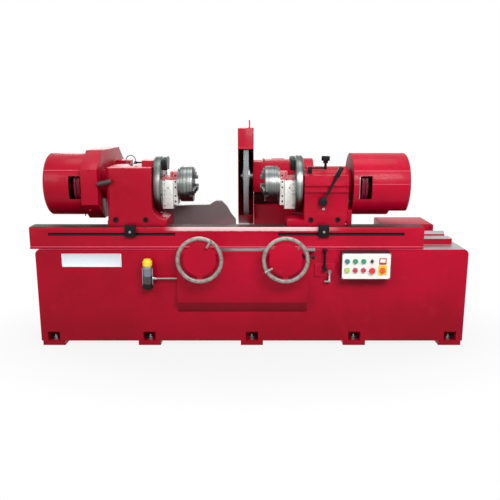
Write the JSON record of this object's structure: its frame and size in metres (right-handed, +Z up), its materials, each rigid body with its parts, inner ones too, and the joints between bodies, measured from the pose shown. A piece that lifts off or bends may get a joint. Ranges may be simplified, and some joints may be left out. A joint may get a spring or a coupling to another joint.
{
  "type": "crankshaft grinding machine",
  "caption": "Crankshaft grinding machine with a long sliding table, two chuck heads with throw slides, a cross-feeding wheelhead, handwheels and a push-button control box",
  "frame": {"origin": "on the floor at the centre of the bed's outer anchor holes, in the plane of the work axis and half way along the bed", "axes": "+X runs along the bed and the work axis to the operator's right, +Y runs from the operator to the wheelhead at the rear, +Z is up"},
  "size_m": [3.1545, 1.7328, 1.638],
  "materials": {
    "red_casting": "glossy",
    "red_table": "glossy",
    "red_sheet": "glossy",
    "motor_red": "satin",
    "black_oxide": "satin",
    "grey_sheet": "satin",
    "box_black": "satin",
    "oiler_glass": "glossy",
    "pipe_metal": "satin",
    "yellow_plastic": "glossy",
    "grip_black": "matte",
    "spindle_paint": "satin",
    "ground_steel": "ground",
    "slide_steel": "scraped",
    "wheel_abrasive": "rough",
    "chromed_rim": "polished",
    "teal_plastic": "glossy",
    "green_plastic": "glossy",
    "lime_plastic": "glossy",
    "red_plastic": "glossy",
    "orange_plastic": "glossy"
  },
  "bodies": {
    "root": {"bed": "red_casting", "cross_bed": "red_casting", "levelling_screws": "black_oxide", "apron": "red_casting", "rear_cover": "red_sheet", "control_box": "box_black", "oiler_body": "oiler_glass", "oil_pipe": "pipe_metal"},
    "table_body": {"table": "red_table", "trip_dogs": "black_oxide", "splash_guard": "grey_sheet"},
    "headstock": {"headstock_body": "red_casting", "headstock_guard": "red_sheet", "headstock_cover": "red_sheet", "headstock_motor": "motor_red"},
    "headstock_turning": {"headstock_spindle": "spindle_paint", "headstock_faceplate": "ground_steel", "headstock_slide_base": "slide_steel"},
    "headstock_throw_slide": {"headstock_slide": "slide_steel", "headstock_chuck": "ground_steel"},
    "tailstock": {"tailstock_body": "red_casting", "tailstock_cover": "red_sheet"},
    "tailstock_turning": {"tailstock_spindle": "spindle_paint", "tailstock_faceplate": "ground_steel", "tailstock_slide_base": "slide_steel"},
    "tailstock_throw_slide": {"tailstock_slide": "slide_steel", "tailstock_chuck": "ground_steel"},
    "wheelhead": {"wheelhead_slide": "red_casting", "wheelhead_body": "red_casting", "wheel_guard": "red_sheet", "wheelhead_motor": "motor_red", "wheelhead_guard": "red_sheet"},
    "wheel": {"grinding_wheel": "wheel_abrasive", "wheel_spindle": "ground_steel"},
    "oiler_knob_part": {"oiler_knob": "yellow_plastic"},
    "headstock_handle_part": {"headstock_handle": "grip_black"},
    "headstock_plunger_part": {"headstock_plunger": "black_oxide"},
    "headstock_jaw_1_part": {"headstock_jaw_1": "ground_steel"},
    "headstock_jaw_2_part": {"headstock_jaw_2": "ground_steel"},
    "headstock_jaw_3_part": {"headstock_jaw_3": "ground_steel"},
    "tailstock_lever_part": {"tailstock_lever": "black_oxide"},
    "tailstock_plunger_part": {"tailstock_plunger": "black_oxide"},
    "tailstock_jaw_1_part": {"tailstock_jaw_1": "ground_steel"},
    "tailstock_jaw_2_part": {"tailstock_jaw_2": "ground_steel"},
    "tailstock_jaw_3_part": {"tailstock_jaw_3": "ground_steel"},
    "feed_screw_part": {"feed_screw": "ground_steel"},
    "table_handwheel_part": {"table_handwheel": "chromed_rim"},
    "infeed_handwheel_part": {"infeed_handwheel": "chromed_rim"},
    "feed_lever_part": {"feed_lever": "black_oxide"},
    "crank_handle_part": {"crank_handle": "pipe_metal"},
    "table_lever_part": {"table_lever": "black_oxide"},
    "button_jog_part": {"button_jog": "teal_plastic"},
    "button_head_start_part": {"button_head_start": "green_plastic"},
    "button_wheel_start_part": {"button_wheel_start": "green_plastic"},
    "button_lamp_part": {"button_lamp": "lime_plastic"},
    "button_head_stop_part": {"button_head_stop": "red_plastic"},
    "button_wheel_stop_part": {"button_wheel_stop": "red_plastic"},
    "emergency_stop_part": {"emergency_stop": "red_plastic"},
    "selector_switch_part": {"selector_switch": "box_black"},
    "main_switch_part": {"main_switch": "orange_plastic"}
  },
  "joints": [
    {"name": "table_traverse", "type": "slide", "parent": "root", "child": "table_body", "axis": [1, 0, 0], "range_m": [-0.55, 0.65]},
    {"name": "headstock_shift", "type": "slide", "parent": "table_body", "child": "headstock", "axis": [1, 0, 0], "range_m": [-0.5, 0.05]},
    {"name": "tailstock_shift", "type": "slide", "parent": "table_body", "child": "tailstock", "axis": [-1, 0, 0], "range_m": [-0.54, 0.3]},
    {"name": "wheelhead_feed", "type": "slide", "parent": "root", "child": "wheelhead", "axis": [0, 1, 0], "range_m": [-0.2, 0]},
    {"name": "headstock_spin", "type": "hinge", "parent": "headstock", "child": "headstock_turning", "pos_m": [0, 0, 1.172], "axis": [1, 0, 0], "continuous": true},
    {"name": "tailstock_spin", "type": "hinge", "parent": "tailstock", "child": "tailstock_turning", "pos_m": [0, 0, 1.172], "axis": [1, 0, 0], "continuous": true},
    {"name": "wheel_spin", "type": "hinge", "parent": "wheelhead", "child": "wheel", "pos_m": [0, 0.606, 1.172], "axis": [1, 0, 0], "continuous": true},
    {"name": "headstock_throw", "type": "slide", "parent": "headstock_turning", "child": "headstock_throw_slide", "axis": [0, 0, -1], "range_m": [0, 0.07]},
    {"name": "tailstock_throw", "type": "slide", "parent": "tailstock_turning", "child": "tailstock_throw_slide", "axis": [0, 0, -1], "range_m": [0, 0.07]},
    {"name": "headstock_jaw_1_travel", "type": "slide", "parent": "headstock_throw_slide", "child": "headstock_jaw_1_part", "axis": [0, 0, 1], "range_m": [0, 0.03]},
    {"name": "headstock_jaw_2_travel", "type": "slide", "parent": "headstock_throw_slide", "child": "headstock_jaw_2_part", "axis": [0, -0.866, -0.5], "range_m": [0, 0.03]},
    {"name": "headstock_jaw_3_travel", "type": "slide", "parent": "headstock_throw_slide", "child": "headstock_jaw_3_part", "axis": [0, 0.866, -0.5], "range_m": [0, 0.03]},
    {"name": "tailstock_jaw_1_travel", "type": "slide", "parent": "tailstock_throw_slide", "child": "tailstock_jaw_1_part", "axis": [0, 0, 1], "range_m": [0, 0.03]},
    {"name": "tailstock_jaw_2_travel", "type": "slide", "parent": "tailstock_throw_slide", "child": "tailstock_jaw_2_part", "axis": [0, -0.866, -0.5], "range_m": [0, 0.03]},
    {"name": "tailstock_jaw_3_travel", "type": "slide", "parent": "tailstock_throw_slide", "child": "tailstock_jaw_3_part", "axis": [0, 0.866, -0.5], "range_m": [0, 0.03]},
    {"name": "table_handwheel_turn", "type": "hinge", "parent": "root", "child": "table_handwheel_part", "pos_m": [-0.364, 0, 0.692], "axis": [0, 1, 0], "range_deg": [-1980, 2340]},
    {"name": "infeed_handwheel_turn", "type": "hinge", "parent": "root", "child": "infeed_handwheel_part", "pos_m": [0.234, 0, 0.692], "axis": [0, 1, 0], "range_deg": [-2880, 0]},
    {"name": "feed_screw_turn", "type": "hinge", "parent": "root", "child": "feed_screw_part", "pos_m": [0.26, 0, 0.68], "axis": [0, 1, 0], "range_deg": [-7200, 0]},
    {"name": "headstock_plunger_pull", "type": "slide", "parent": "headstock", "child": "headstock_plunger_part", "axis": [-1, 0, 0], "range_m": [0, 0.02], "stiffness_N_per_m": 200},
    {"name": "headstock_handle_turn", "type": "hinge", "parent": "headstock", "child": "headstock_handle_part", "pos_m": [-1.006, -0.25, 1.215], "axis": [0, 1, 0], "range_deg": [-20, 20]},
    {"name": "tailstock_lever_turn", "type": "hinge", "parent": "tailstock", "child": "tailstock_lever_part", "pos_m": [0.508, -0.22, 1.07], "axis": [0, 1, 0], "range_deg": [-30, 30]},
    {"name": "tailstock_plunger_pull", "type": "slide", "parent": "tailstock", "child": "tailstock_plunger_part", "axis": [0, 0, 1], "range_m": [0, 0.025], "stiffness_N_per_m": 300},
    {"name": "feed_lever_turn", "type": "hinge", "parent": "root", "child": "feed_lever_part", "pos_m": [0.523, -0.29, 0.595], "axis": [0, 1, 0], "range_deg": [-23, 23]},
    {"name": "crank_turn", "type": "hinge", "parent": "root", "child": "crank_handle_part", "pos_m": [0.56, -0.29, 0.57], "axis": [0, 1, 0], "range_deg": [-35, 35]},
    {"name": "table_lever_turn", "type": "hinge", "parent": "root", "child": "table_lever_part", "pos_m": [0.375, -0.335, 0.69], "axis": [0, 1, 0], "range_deg": [-24, 24]},
    {"name": "oiler_pull", "type": "slide", "parent": "root", "child": "oiler_knob_part", "axis": [0, 0, 1], "range_m": [0, 0.03], "stiffness_N_per_m": 120},
    {"name": "button_jog_press", "type": "slide", "parent": "root", "child": "button_jog_part", "axis": [0, 1, 0], "range_m": [0, 0.004], "stiffness_N_per_m": 500},
    {"name": "button_head_start_press", "type": "slide", "parent": "root", "child": "button_head_start_part", "axis": [0, 1, 0], "range_m": [0, 0.004], "stiffness_N_per_m": 500},
    {"name": "button_wheel_start_press", "type": "slide", "parent": "root", "child": "button_wheel_start_part", "axis": [0, 1, 0], "range_m": [0, 0.004], "stiffness_N_per_m": 500},
    {"name": "button_lamp_press", "type": "slide", "parent": "root", "child": "button_lamp_part", "axis": [0, 1, 0], "range_m": [0, 0.004], "stiffness_N_per_m": 500},
    {"name": "button_head_stop_press", "type": "slide", "parent": "root", "child": "button_head_stop_part", "axis": [0, 1, 0], "range_m": [0, 0.004], "stiffness_N_per_m": 500},
    {"name": "button_wheel_stop_press", "type": "slide", "parent": "root", "child": "button_wheel_stop_part", "axis": [0, 1, 0], "range_m": [0, 0.004], "stiffness_N_per_m": 500},
    {"name": "emergency_stop_press", "type": "slide", "parent": "root", "child": "emergency_stop_part", "axis": [0, 1, 0], "range_m": [0, 0.005], "stiffness_N_per_m": 600},
    {"name": "selector_turn", "type": "hinge", "parent": "root", "child": "selector_switch_part", "pos_m": [0.85, -0.37, 0.663], "axis": [0, 1, 0], "range_deg": [-45, 45]},
    {"name": "main_switch_turn", "type": "hinge", "parent": "root", "child": "main_switch_part", "pos_m": [0.926, -0.374, 0.598], "axis": [0, 1, 0], "range_deg": [0, 90]}
  ],
  "couplings": [
    {"joint": "table_handwheel_turn", "follows": "table_traverse", "rad_per_m": 62.832},
    {"joint": "infeed_handwheel_turn", "follows": "wheelhead_feed", "rad_per_m": 251.33},
    {"joint": "feed_screw_turn", "follows": "wheelhead_feed", "rad_per_m": 628.32},
    {"joint": "headstock_jaw_2_travel", "follows": "headstock_jaw_1_travel", "ratio": 1},
    {"joint": "headstock_jaw_3_travel", "follows": "headstock_jaw_1_travel", "ratio": 1},
    {"joint": "tailstock_jaw_2_travel", "follows": "tailstock_jaw_1_travel", "ratio": 1},
    {"joint": "tailstock_jaw_3_travel", "follows": "tailstock_jaw_1_travel", "ratio": 1}
  ]
}
